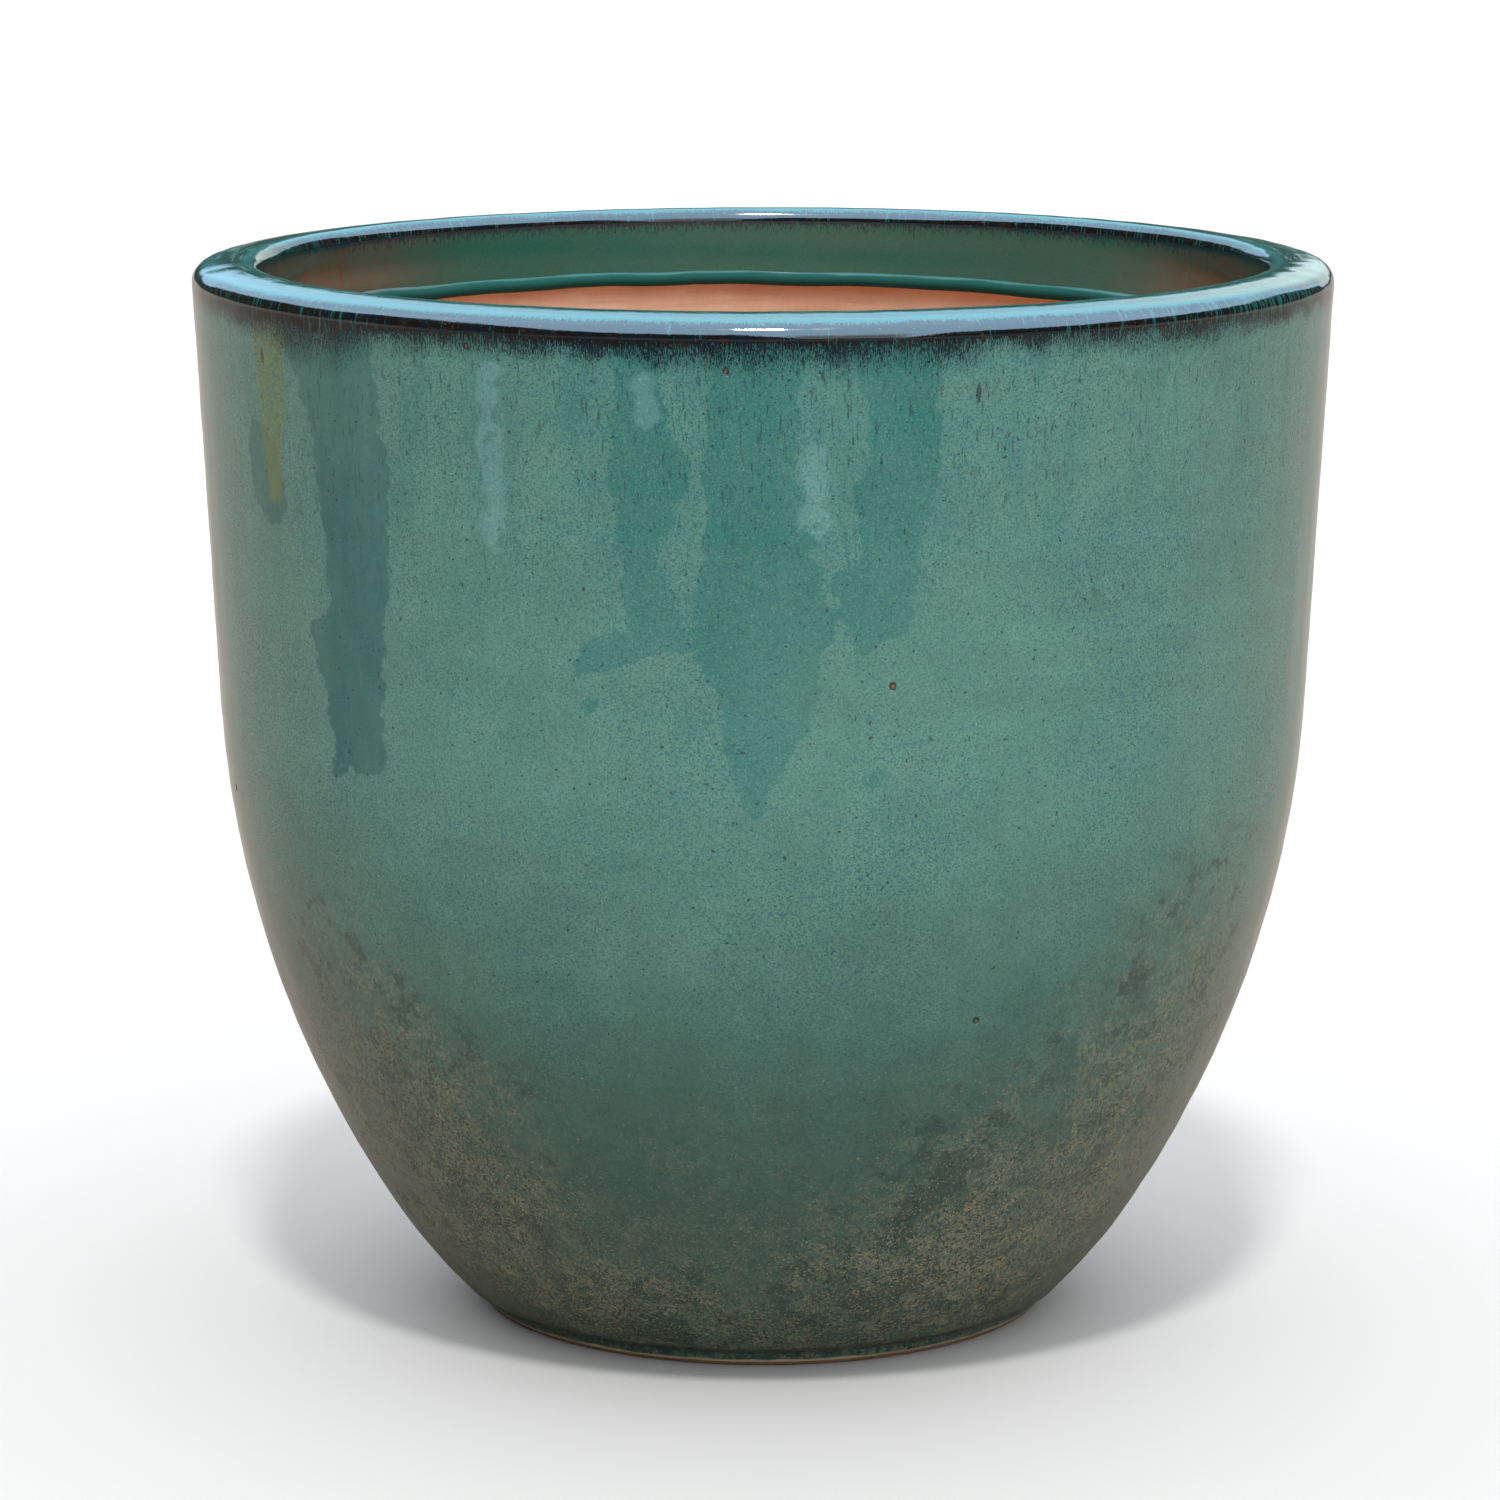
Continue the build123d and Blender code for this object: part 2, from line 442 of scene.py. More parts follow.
def trickle_distance(heading, height, reach):
    """Millimetres from the nearest trickle's line."""
    best = np.full(np.broadcast(heading, height).shape, 40.0)
    for angle, low, high in TRICKLES:
        turn = (heading - angle + 180) % 360 - 180
        across = turn * outside_radius(height) * pi / 180
        beyond = np.maximum(np.maximum(low - height, height - high), 0)
        best = np.minimum(best, np.hypot(across, beyond))
    return best


def break_and_reflection_width(heading, height, reach):
    """Width of the dark band where the glaze breaks under the shoulder; how it changes round the pot
    also paints reflections of dark things beside the pot.
    """
    headings = [-180, -120, -90, -65, -48, -38, -30, -15, 0, 12, 22, 32, 45, 60, 90, 115, 140, 180]
    widths = [3.0, 6.0, 3.0, 3.5, 7.0, 3.5, 2.2, 3.5, 2.6, 2.2, 1.5, 1.8, 2.5, 1.8, 4.0, 6.0, 3.0, 3.0]
    return np.interp(heading, headings, widths) + 0 * reach


def teeth_share(heading, height, reach):
    """Where teal teeth cut through the dark band, from 0 to 1; on the right they paint the crisp edge of
    a dark reflection.
    """
    headings = [-180, -100, -62, -40, -20, 10, 20, 30, 60, 90, 130, 180]
    shares = [0.0, 0.9, 0.6, 0.3, 0.0, 0.0, 0.2, 0.5, 1.0, 0.8, 0.5, 0.0]
    return np.interp(heading, headings, shares) + 0 * reach


def haze_depth(heading, height, reach):
    """How far the dark pigment spreads below its band."""
    headings = [-180, -120, -90, -62, -48, -34, -15, 0, 9, 22, 45, 70, 100, 140, 180]
    depths = [12.0, 20.0, 11.0, 14.0, 30.0, 17.0, 11.0, 25.0, 21.0, 15.0, 18.0, 10.0, 24.0, 11.0, 12.0]
    return np.interp(heading, headings, depths) + 0 * reach


def reach_mark(heading, height, reach):
    """Distance along the outline from the shoulder, upwards and over the lip."""
    return reach - SHOULDER_AT + 0 * heading


# ---------------------------------------------------------------- shader helpers
def colour(red, green, blue):
    """Linear colour of an everyday 0 to 255 one."""
    parts = [c / 255 for c in (red, green, blue)]
    return tuple(p / 12.92 if p < 0.04045 else ((p + 0.055) / 1.055) ** 2.4 for p in parts) + (1.0,)


class Shading:
    """A node tree, with short calls that each add a node and give its output."""

    def __init__(self, tree, coordinates):
        self.tree = tree
        self.tree.nodes.clear()
        self.place = self.add("ShaderNodeTexCoord", {}, coordinates)
        self.x, self.y, self.z = self.split(self.place)

    def add(self, kind, inputs, output=0, **settings):
        """A node with its inputs set or linked, and one of its outputs."""
        node = self.tree.nodes.new(kind)
        for key, value in settings.items():
            setattr(node, key, value)
        for key, value in inputs.items():
            if isinstance(value, bpy.types.NodeSocket):
                self.tree.links.new(value, node.inputs[key])
            else:
                node.inputs[key].default_value = value
        return None if output is None else node.outputs[output]

    def split(self, vector):
        return self.add("ShaderNodeSeparateXYZ", {0: vector}).node.outputs

    def maths(self, operation, *values):
        return self.add("ShaderNodeMath", dict(enumerate(values)), operation=operation)

    def times(self, *values):
        result = values[0]
        for value in values[1:]:
            result = self.maths("MULTIPLY", result, value)
        return result

    def plus(self, *values):
        result = values[0]
        for value in values[1:]:
            result = self.maths("ADD", result, value)
        return result

    def most(self, *values):
        result = values[0]
        for value in values[1:]:
            result = self.maths("MAXIMUM", result, value)
        return result

    def stretched(self, x, y, z):
        """Place, scaled along each axis: a small z makes upright streaks of a noise."""
        return self.add("ShaderNodeVectorMath", {0: self.place, 1: (x, y, z)}, operation="MULTIPLY")

    def rolled(self, around, along):
        """Place on the coat as if unrolled: round the pot, and along its outline."""
        flat = self.stretched(1, 1, 0)
        circle = self.add("ShaderNodeVectorMath", {0: flat}, operation="NORMALIZE")
        x, y, _ = self.split(circle)
        size = RIM_RADIUS * MM * around
        up = self.times(self.mask("reach"), MM * along)
        return self.add("ShaderNodeCombineXYZ", {0: self.times(x, size), 1: self.times(y, size), 2: up})

    def noise(self, scale, detail=2.0, rough=0.5, place=None):
        inputs = {"Vector": place or self.place, "Scale": scale, "Detail": detail, "Roughness": rough}
        return self.add("ShaderNodeTexNoise", inputs)

    def swing(self, scale, size, detail=2.0, place=None):
        """Noise either side of zero, reaching about the given size."""
        return self.times(self.maths("SUBTRACT", self.noise(scale, detail, place=place), 0.5), size * 4)

    def fade(self, value, start, end):
        """0 at start to 1 at end, smoothly."""
        inputs = {"Value": value, "From Min": start, "From Max": end}
        return self.add("ShaderNodeMapRange", inputs, interpolation_type="SMOOTHSTEP")

    def level(self, value, start, end, low, high):
        """low at start to high at end, straight between and level beyond."""
        inputs = {"Value": value, "From Min": start, "From Max": end, "To Min": low, "To Max": high}
        return self.add("ShaderNodeMapRange", inputs)

    def mask(self, name):
        return self.add("ShaderNodeAttribute", {}, "Fac", attribute_name=name)

    def mix(self, share, under, over):
        return self.add("ShaderNodeMix", {0: share, 6: under, 7: over}, 2, data_type="RGBA")


class Finish(Shading):
    """One material."""

    def __init__(self, name):
        self.material = bpy.data.materials.new(name)
        self.material.use_nodes = True
        super().__init__(self.material.node_tree, "Object")

    def finish(self, base, roughness, relief, constants):
        """The surface: colour, roughness, and its fine relief in metres."""
        bump = self.add("ShaderNodeBump", {"Height": relief, "Distance": 1.0, "Strength": 1.0})
        inputs = {"Base Color": base, "Roughness": roughness, "Normal": bump, **constants}
        shader = self.add("ShaderNodeBsdfPrincipled", inputs)
        self.add("ShaderNodeOutputMaterial", {"Surface": shader}, None)
        return self.material


SAGE = colour(78, 121, 109)
SAGE_DEEP = colour(70, 113, 102)
SAGE_PALE = colour(108, 146, 132)
MOTTLE = colour(32, 88, 92)
# teal of the drips, and of the runs that paint reflections of dark surroundings
WASHED_AND_REFLECTED = colour(27, 96, 88)
DEEP_REFLECTION_TEAL = colour(2, 76, 76)
LOWER_DARKENING = colour(32, 74, 67)
GRIME_DARK = colour(26, 46, 42)
HAZE = colour(12, 50, 54)
OLIVE = colour(92, 104, 42)
MINERAL = colour(112, 156, 154)
NAVY = colour(8, 30, 40)
NAVY_BLACK = colour(8, 14, 20)
BROWN_BLACK = colour(14, 9, 9)
BROWN = colour(48, 32, 26)
RUST = colour(128, 82, 46)
TEAL_DARK = colour(12, 58, 54)
TEETH = colour(18, 74, 70)
TURQUOISE = colour(34, 88, 90)
PALE_STREAK = colour(70, 110, 104)
COLLAR_GREEN = colour(24, 74, 62)
COLLAR_TEAL = colour(18, 75, 66)
COLLAR_BEAD = colour(8, 62, 56)
# painted reflection of the clay inside, on the collar's two sides
COLLAR_CLAY_REFLECTION = colour(62, 48, 36)
DUST = colour(126, 131, 109)
SOIL = colour(164, 154, 122)
CLAY = colour(216, 176, 148)
CLAY_PALE = colour(228, 192, 166)
CLAY_DARK = colour(160, 110, 82)
CLAY_DEEP = colour(180, 118, 86)
CLAY_DAMP = colour(116, 78, 56)
SALT = colour(216, 192, 172)
GLAZE_IOR = 1.6
BREAK_IOR = 1.42  # where the glaze has broken dark
LIP_IOR = 1.7
BEAD_IOR = 1.3
CLAY_IOR = 1.45


def edge_pigment(f):
    """Brown black with navy clouds, specks of rust and, along parts of the lip, teal teeth."""
    dark = f.mix(f.fade(f.noise(70, 3), 0.4, 0.6), BROWN_BLACK, NAVY_BLACK)
    smears = f.fade(f.noise(260, 4, 0.65, f.rolled(0.5, 1)), 0.54, 0.68)
    dark = f.mix(f.times(smears, 0.45), dark, BROWN)
    teeth = f.plus(f.noise(520, 4, 0.65, f.rolled(1, 0.12)), f.level(f.mask("teeth"), 0, 1, -0.12, 0.0))
    dark = f.mix(f.times(f.fade(teeth, 0.5, 0.56), 0.9), dark, TEETH)
    specks = f.fade(f.noise(800, 1), 0.735, 0.76)
    return f.mix(f.times(specks, 0.7), dark, RUST)


def nearest(f, spots, flatten):
    """Metres to the nearest of some spots, with heights flattened to make them long."""
    place = f.stretched(1, 1, flatten)
    result = None
    for angle, height in spots:
        turn = radians(angle)
        reach = outside_radius(height) - SETTLE
        centre = (reach * sin(turn) * MM, -reach * cos(turn) * MM, height * MM * flatten)
        away = f.add("ShaderNodeVectorMath", {0: place, 1: centre}, "Value", operation="DISTANCE")
        result = f.maths("MINIMUM", result, away) if result else away
    return f.plus(result, f.swing(600, 0.0005))


def pinholes(f, base):
    """Pits where the glaze crawled off the clay: a dark rim, and a rusty middle."""
    away = nearest(f, PINHOLES, 0.8)
    pit = f.fade(away, 0.0021, 0.0014)
    middle = f.fade(away, 0.0010, 0.0005)
    drop = f.fade(nearest(f, DROPS, 0.3), 0.0018, 0.0010)
    base = f.mix(f.times(drop, 0.75), base, BROWN_BLACK)
    return f.mix(f.times(middle, 0.8), f.mix(pit, base, BROWN_BLACK), RUST), pit


def dark_band_and_reflections(f, base):
    """Brown-black band under the shoulder, with feathers of navy running down from it; the band's width
    and teeth round the pot also paint reflections of dark things beside it.
    """
    streaks = f.noise(1500, 3, 0.65, f.rolled(1, 0.2))
    below = f.times(f.mask("reach"), -1.0)
    ragged = f.plus(f.swing(150, 1.6, 3, f.rolled(1, 0.5)), f.level(streaks, 0.3, 0.7, -2.2, 2.2))
    edge = f.plus(f.maths("SUBTRACT", f.mask("break_and_reflection"), below), ragged)
    band = f.fade(edge, -0.8, 1.6)
    beyond = f.maths("SUBTRACT", f.plus(below, f.swing(45, 5.0, 3)), f.mask("break_and_reflection"))
    spread = f.maths("DIVIDE", beyond, f.mask("haze"))
    near = f.fade(spread, 0.9, -0.25)
    fine = f.noise(1500, 4, 0.75, f.rolled(1, 0.45))
    base = f.mix(f.times(near, f.level(fine, 0.35, 0.65, 0.5, 1.0)), base, HAZE)
    speckle = f.plus(f.times(streaks, 0.5), f.times(fine, 0.5))
    feathers = f.fade(f.maths("SUBTRACT", speckle, f.level(spread, -0.1, 1.1, 0.43, 0.66)), -0.015, 0.04)
    base = f.mix(f.times(feathers, 0.9), base, NAVY_BLACK)
    return f.mix(band, base, edge_pigment(f)), f.most(near, band)


def washed_runs_and_reflections(f, base, height, upper):
    """Runs through the pale film, with ragged edges, and where the deep ones are: painted reflections of
    dark things around the pot, drawn as glaze washed clean.
    """
    ragged = f.plus(f.swing(22, 2.6), f.swing(90, 2.0, 4), f.swing(420, 0.9))
    torn = f.plus(ragged, f.swing(75, 4.0, 5, f.stretched(1, 1, 1.4)))
    # the deep and faint runs: painted reflections of dark surroundings
    deep = f.fade(f.plus(f.mask("deep"), torn), -0.8, 1.4)
    faint = f.fade(f.plus(f.mask("faint"), torn), -0.8, 1.4)
    drips = f.fade(f.noise(75, 4, 0.6, f.stretched(1, 1, 0.16)), 0.45, 0.66)
    base = f.mix(f.times(drips, f.plus(f.times(upper, 0.25), 0.1)), base, WASHED_AND_REFLECTED)
    run_strength = f.level(f.noise(48, 3, 0.6, f.stretched(1, 1, 0.3)), 0.35, 0.65, 0.62, 1.0)
    base = f.mix(f.times(faint, run_strength, 0.72), base, WASHED_AND_REFLECTED)
    deep_share = f.times(deep, run_strength, f.level(height, 400, 540, 0.95, 0.7))
    base = f.mix(deep_share, base, DEEP_REFLECTION_TEAL)
    olive = f.fade(f.plus(f.mask("olive"), f.swing(60, 2.0, place=f.stretched(1, 1, 0.2))), -3.0, 6.0)
    return f.mix(f.times(olive, 0.7), base, OLIVE), deep


def stippled(f, base, deep, upper):
    """Blue-green stipple, short dark streaks near the top, and dark specks."""
    stipple = f.fade(f.noise(880, 3, 0.65), 0.46, 0.6)
    patchy = f.level(f.noise(11, 3), 0.36, 0.64, 0.6, 1.0)
    grain_share = f.level(deep, 0, 1, 1.0, 0.4)
    base = f.mix(f.times(stipple, patchy, grain_share), base, MOTTLE)
    pale = f.fade(f.noise(1100, 2, 0.6), 0.55, 0.66)
    base = f.mix(f.times(pale, grain_share, 0.36), base, SAGE_PALE)
    fine = f.noise(650, 3, 0.6, f.stretched(1, 1, 0.14))
    streaks = f.times(f.fade(fine, 0.57, 0.68), upper)
    base = f.mix(f.times(streaks, 0.55), base, NAVY)
    specks = f.fade(f.noise(420, 1), 0.71, 0.75)
    return f.mix(f.times(specks, 0.75), base, NAVY)


def trickled(f, base):
    """Pale smears of mineral that trickling water left, a little brighter at their edges."""
    near = f.fade(f.plus(f.mask("trickle"), f.swing(60, 5.0, 4)), 9.0, 4.0)
    pool = f.noise(64, 5, 0.6)
    smear = f.fade(pool, 0.4, 0.47)
    rim = f.times(smear, f.fade(pool, 0.56, 0.46))
    trickle = f.times(near, f.plus(f.times(smear, 0.24), f.times(rim, 0.08)))
    return f.mix(trickle, base, MINERAL), trickle


def soiled(f, base, height):
    """Darker towards the ground, with dried soil thicker there: its colour, then its four shares."""
    # the wall is painted darker from 330 mm down towards the ground
    spotty = f.plus(f.swing(14, 40, 3), f.swing(70, 26, 4), f.swing(420, 22, 2))
    low = f.fade(f.plus(height, spotty), 330, 90)
    base = f.mix(f.times(low, 0.68), base, LOWER_DARKENING)

    # a film of dust, in clumps and grains, over crusts and dark blotches
    patch = f.fade(f.plus(f.mask("soil"), f.swing(26, 26.0, 4)), -30, 62)
    ground = f.fade(f.plus(height, f.swing(30, 40, 4)), 210, 0)
    crust = f.fade(f.noise(58, 6, 0.75), 0.44, 0.56)
    crust = f.times(crust, patch, f.fade(height, 320, 150))
    density = f.plus(f.times(patch, 0.36), f.times(ground, 0.34), f.times(crust, 0.24))
    blotches = f.fade(f.noise(64, 6, 0.75), 0.46, 0.62)
    base = f.mix(f.times(blotches, density, 0.75), base, GRIME_DARK)
    clumps = f.level(f.noise(80, 5, 0.7), 0.42, 0.58, 0.35, 1.25)
    dust = f.times(density, clumps, f.level(f.noise(400, 6, 0.88), 0.455, 0.575, 0.28, 1.45))
    base = f.mix(dust, base, DUST)
    pits = f.times(f.fade(f.noise(520, 4, 0.75, f.stretched(1, 1, 0.6)), 0.5, 0.58), density, 1.5)
    base = f.mix(pits, base, GRIME_DARK)

    # places that rain has wiped or something has rubbed, then splashes of soil
    wiped = f.fade(f.noise(52, 7, 0.72), 0.555, 0.585)
    base = f.mix(f.times(wiped, f.fade(patch, 0.05, 0.5), 0.6), base, TEAL_DARK)
    rubbed = f.fade(f.plus(f.mask("rubbed"), f.swing(60, 22.0, 5), f.swing(260, 9.0, 4)), -1.5, 1.5)
    base = f.mix(f.times(rubbed, f.level(height, 120, 180, 0.62, 0.3)), base, TEAL_DARK)
    grain = f.plus(f.noise(760, 3, 0.7), f.times(density, 0.12))
    splash = f.times(f.fade(grain, 0.64, 0.68), f.fade(height, 300, 60))
    return f.mix(f.times(splash, 0.75), base, SOIL), low, dust, crust, splash


def foot_band(f, base, height):
    """Teal streaks round the foot ring, and a line of soil at the ground."""
    foot = f.fade(f.plus(height, f.swing(90, 1.4)), 15, 12)
    foot_streaks = f.fade(f.noise(300, 2, place=f.stretched(1, 1, 0.05)), 0.4, 0.6)
    base = f.mix(f.times(foot, foot_streaks, 0.5), base, TEAL_DARK)
    hem = f.fade(f.plus(height, f.swing(60, 0.8)), 4.4, 3.4)
    return f.mix(hem, base, SOIL)


def make_body_glaze():
    """Sage over teal, with runs of darker teal that are painted reflections of dark surroundings,
    breaking dark at the top in a band that partly paints them too, and darker towards the foot, with
    soil on it.
    """
    f = Finish("sage_glaze")
    height = f.times(f.z, 1 / MM)
    upper = f.fade(f.plus(height, f.swing(8, 30)), 380, 560)
    clouds = f.fade(f.noise(30, 4, 0.55), 0.3, 0.72)
    base, deep = washed_runs_and_reflections(f, f.mix(clouds, SAGE_DEEP, SAGE), height, upper)
    base = stippled(f, base, deep, upper)
    base, trickle = trickled(f, base)
    base, pit = pinholes(f, base)
    base, dark = dark_band_and_reflections(f, base)
    base, low, dust, crust, splash = soiled(f, base, height)
    base = foot_band(f, base, height)

    dirt = f.most(f.times(low, 0.35), f.times(splash, 0.8), dust, trickle, pit)
    roughness = f.level(f.plus(dirt, f.swing(35, 0.04)), 0, 1, 0.09, 0.7)
    peel = f.times(f.noise(150, 2), 0.00006)
    grit = f.times(f.noise(900, 2), f.plus(dirt, 0.08), 0.00005)
    relief = f.plus(peel, grit, f.times(splash, 0.0001), f.times(crust, 0.00006), f.times(pit, -0.0004))
    return f.finish(base, roughness, relief, {"IOR": f.level(dark, 0, 1, GLAZE_IOR, BREAK_IOR)})


def make_lip_glaze():
    """Dark teal over the crown, turquoise on both shoulders, brown-black at both edges."""
    f = Finish("lip_glaze")
    reach = f.mask("reach")
    streaks = f.noise(1400, 4, 0.7, f.rolled(1, 0.25))
    shift = f.plus(f.level(streaks, 0.3, 0.7, -2.6, 2.6), f.swing(25, 1.2))
    from_outside = f.plus(reach, shift)
    from_inside = f.plus(f.maths("SUBTRACT", LIP_LENGTH, reach), shift)

    rings = f.noise(620, 4, 0.7, f.rolled(0.04, 1))
    pale = f.fade(f.plus(rings, f.swing(18, 0.1, 4)), 0.5, 0.68)
    crown = f.mix(f.times(pale, 0.75), TEAL_DARK, PALE_STREAK)
    mottle = f.fade(f.noise(900, 3, 0.6), 0.45, 0.65)
    blue = f.mix(f.times(mottle, 0.35), TURQUOISE, TEAL_DARK)
    shoulders = f.most(f.fade(from_outside, 21, 17), f.fade(from_inside, 15, 11))
    base = f.mix(shoulders, crown, blue)

    edges = f.most(f.fade(from_outside, 11.4, 9.4), f.fade(from_inside, 8.0, 6.0))
    base = f.mix(edges, base, edge_pigment(f))

    peel = f.times(f.noise(160, 2), 0.00008)
    turned = f.times(rings, 0.000025)
    return f.finish(base, f.plus(0.07, f.times(pale, 0.1)), f.plus(peel, turned), {"IOR": LIP_IOR})


def make_collar_glaze():
    """Green inside the lip, with a painted reflection of the clay in brown at two sides, a dark
    feathered top and a teal bead.
    """
    f = Finish("collar_glaze")
    down = f.maths("SUBTRACT", f.mask("reach"), LIP_LENGTH)
    streaks = f.noise(1300, 4, 0.7, f.rolled(1, 0.2))
    clouds = f.fade(f.noise(26, 3, place=f.stretched(1, 1, 0.5)), 0.36, 0.66)
    base = f.mix(clouds, COLLAR_GREEN, COLLAR_TEAL)
    mottle = f.fade(f.noise(900, 3, 0.6), 0.45, 0.62)
    base = f.mix(f.times(mottle, 0.55), base, COLLAR_BEAD)
    # painted reflection: brown at the two sides stands for the clay inside mirrored in the glaze, in
    # upright streaks
    reflected_sides = f.most(f.fade(f.x, -0.16, -0.25), f.fade(f.x, 0.2, 0.26))
    wear_and_streaks = f.fade(f.noise(200, 3, place=f.stretched(1, 1, 0.12)), 0.3, 0.7)
    base = f.mix(f.times(reflected_sides, f.level(wear_and_streaks, 0, 1, 0.65, 0.95)), base, COLLAR_CLAY_REFLECTION)
    bead = f.fade(f.plus(down, f.swing(30, 0.8)), 29, 32)
    base = f.mix(bead, base, COLLAR_BEAD)
    limit = f.level(down, 0.0, 12.0, 0.42, 0.72)
    feathers = f.fade(f.maths("SUBTRACT", streaks, limit), -0.015, 0.06)
    base = f.mix(f.times(feathers, 0.9), base, NAVY)
    edge = f.fade(f.plus(down, f.level(streaks, 0.3, 0.7, 1.6, -1.6)), 3.4, 0.6)
    base = f.mix(edge, base, NAVY)
    peel = f.times(f.noise(150, 2), 0.00006)
    roughness = f.level(bead, 0, 1, 0.12, 0.85)
    return f.finish(base, roughness, peel, {"IOR": f.level(bead, 0, 1, GLAZE_IOR, BEAD_IOR)})


def make_clay():
    """Fired red clay: gritty, painted pale at the top of the inner wall and deeper down the wall, with
    salt bloom, and damp at the floor.
    """
    f = Finish("fired_clay")
    clouds = f.fade(f.noise(16, 4, 0.6), 0.35, 0.65)
    base = f.mix(clouds, CLAY, CLAY_PALE)
    grit = f.noise(1300, 3, 0.7)
    base = f.mix(f.times(f.fade(grit, 0.55, 0.7), 0.35), base, CLAY_DARK)
    combed = f.fade(f.noise(320, 3, place=f.stretched(0.08, 0.08, 1)), 0.5, 0.7)
    base = f.mix(f.times(combed, 0.2), base, CLAY_DARK)
    height = f.times(f.z, 1 / MM)
    # painted light: above here the clay keeps a pale colour that makes up for the lip's shade on the top
    # of the inner wall
    deeper = f.fade(f.plus(height, f.swing(12, 14, 3)), 478, 410)
    base = f.mix(f.times(deeper, 0.7), base, CLAY_DEEP)
    bloom = f.fade(f.plus(f.noise(22, 5, 0.7), f.swing(5, 0.1)), 0.56, 0.66)
    base = f.mix(f.times(bloom, f.fade(height, 500, 400), 0.3), base, SALT)
    damp = f.fade(f.plus(height, f.swing(9, 70, 4), f.swing(40, 22, 4)), 360, 60)
    base = f.mix(f.times(damp, 0.78), base, CLAY_DAMP)
    spots = f.fade(f.noise(170, 3, 0.6), 0.64, 0.7)
    base = f.mix(f.times(spots, damp, 0.6), base, GRIME_DARK)
    relief = f.plus(f.times(grit, 0.00012), f.times(combed, 0.00005))
    return f.finish(base, 0.86, relief, {"IOR": CLAY_IOR})


# ---------------------------------------------------------------- glaze coats
SHOULDER_AT = measure(body_face(0.0, 3.0))[1][-1]
LIP_LENGTH = measure(lip_face(0.0, 0.9))[1][-1]
body_marks = {
    "deep": inside_runs(DEEP_REFLECTION_RUNS),
    "faint": inside_runs(FAINT_REFLECTION_RUNS),
    "olive": inside_runs(OLIVE_RUNS),
    "trickle": trickle_distance,
    "soil": inside_patches(SOIL_PATCHES),
    "rubbed": inside_patches(RUBBED_PATCHES),
    "break_and_reflection": break_and_reflection_width,
    "haze": haze_depth,
    "teeth": teeth_share,
    "reach": reach_mark,
}
lip_marks = {"teeth": teeth_share, "reach": reach_mark}

body, shoulder_at = coat(
    "body_glaze_coat", body_face, 0.0, outside_relief, 3.0, make_body_glaze(), body_marks
)
lip, collar_at = coat(
    "lip_glaze_coat", lip_face, shoulder_at, outside_relief, 0.9, make_lip_glaze(), lip_marks
)
collar, _ = coat(
    "collar_glaze_coat", collar_face, collar_at, outside_relief, 1.6, make_collar_glaze(), lip_marks
)
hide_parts("body_glaze")
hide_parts("rim_glaze")
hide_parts("collar_glaze")

# ---------------------------------------------------------------- clay
THROWING_PITCH = 11.0  # a potter's finger marks, along the wall
THROWING_DEPTH = 0.35
FLOOR_PITCH = 9.0
CLAY_GAP = 0.4  # between the clay and the back of its glaze, so that they never cross


def soften(corners, reach):
    """A run of straight lines with each inner corner rounded off, reach along each line."""
    corners = np.array(corners, float)
    points = [tuple(corners[0])]
    for before, corner, after in zip(corners, corners[1:], corners[2:]):
        start = corner + (before - corner) * min(0.5, reach / np.linalg.norm(before - corner))
        end = corner + (after - corner) * min(0.5, reach / np.linalg.norm(after - corner))
        for t in (0, 0.3, 0.7, 1):
            points.append(tuple(start * (1 - t) ** 2 + 2 * corner * t * (1 - t) + end * t**2))
    return points + [tuple(corners[-1])]


def spaced(points, step):
    """The same run with points no further apart than a step."""
    runs = [line(start, end, step) for start, end in zip(points, points[1:])]
    return join(*runs)


def throwing_marks(pitch, turns):
    """A spiral of finger marks: a height from the angle and the distance along."""

    def height(angle, distance):
        winding = 2 * pi * distance / pitch + turns * angle
        sharp = 1 - np.abs(np.sin(winding / 2 + 0.6 * np.sin(3 * angle)))
        return THROWING_DEPTH * (sharp - 0.4)

    return height


def clay_piece(name, runs, material, drop=None):
    """A piece of clay from runs of its closed outline, each with its own relief or None."""
    angle = (np.arange(SEGMENTS) * 2 * pi / SEGMENTS)[:, None]
    radii, levels = [], []
    for points, relief in runs:
        surface, distance, normal = measure(points)
        height = relief(angle, distance[None, :]) if relief else np.zeros((SEGMENTS, len(surface)))
        radii.append(surface[None, :, 0] + normal[None, :, 0] * height)
        levels.append(surface[None, :, 1] + normal[None, :, 1] * height)
    level = np.concatenate(levels, axis=1)
    if drop:
        level = level - drop(angle, level)
    return spin(name, np.concatenate(radii, axis=1), level, material)


def thrown_wall(material):
    """The wall, ridged inside by the potter's fingers, plain under the glaze."""
    outside = wall_face(GLAZE + CLAY_GAP, CORNER_ANGLE, upper_wall(RIM_JOINT, GLAZE + CLAY_GAP), 25.0)
    inside = wall_face(WALL, CORNER_ANGLE, upper_wall(LIP_UNDERSIDE, WALL), 2.4)
    marks = throwing_marks(THROWING_PITCH, 1)
    ends = len(inside)

    def ridges(angle, distance):
        fade = np.clip(np.minimum(distance, distance.max() - distance) / 8, 0, 1)
        return fade * (marks(angle, distance) + kiln_sag(angle, distance) * 0.5)

    return clay_piece("thrown_wall", [(outside, None), (inside[::-1], ridges)], material)


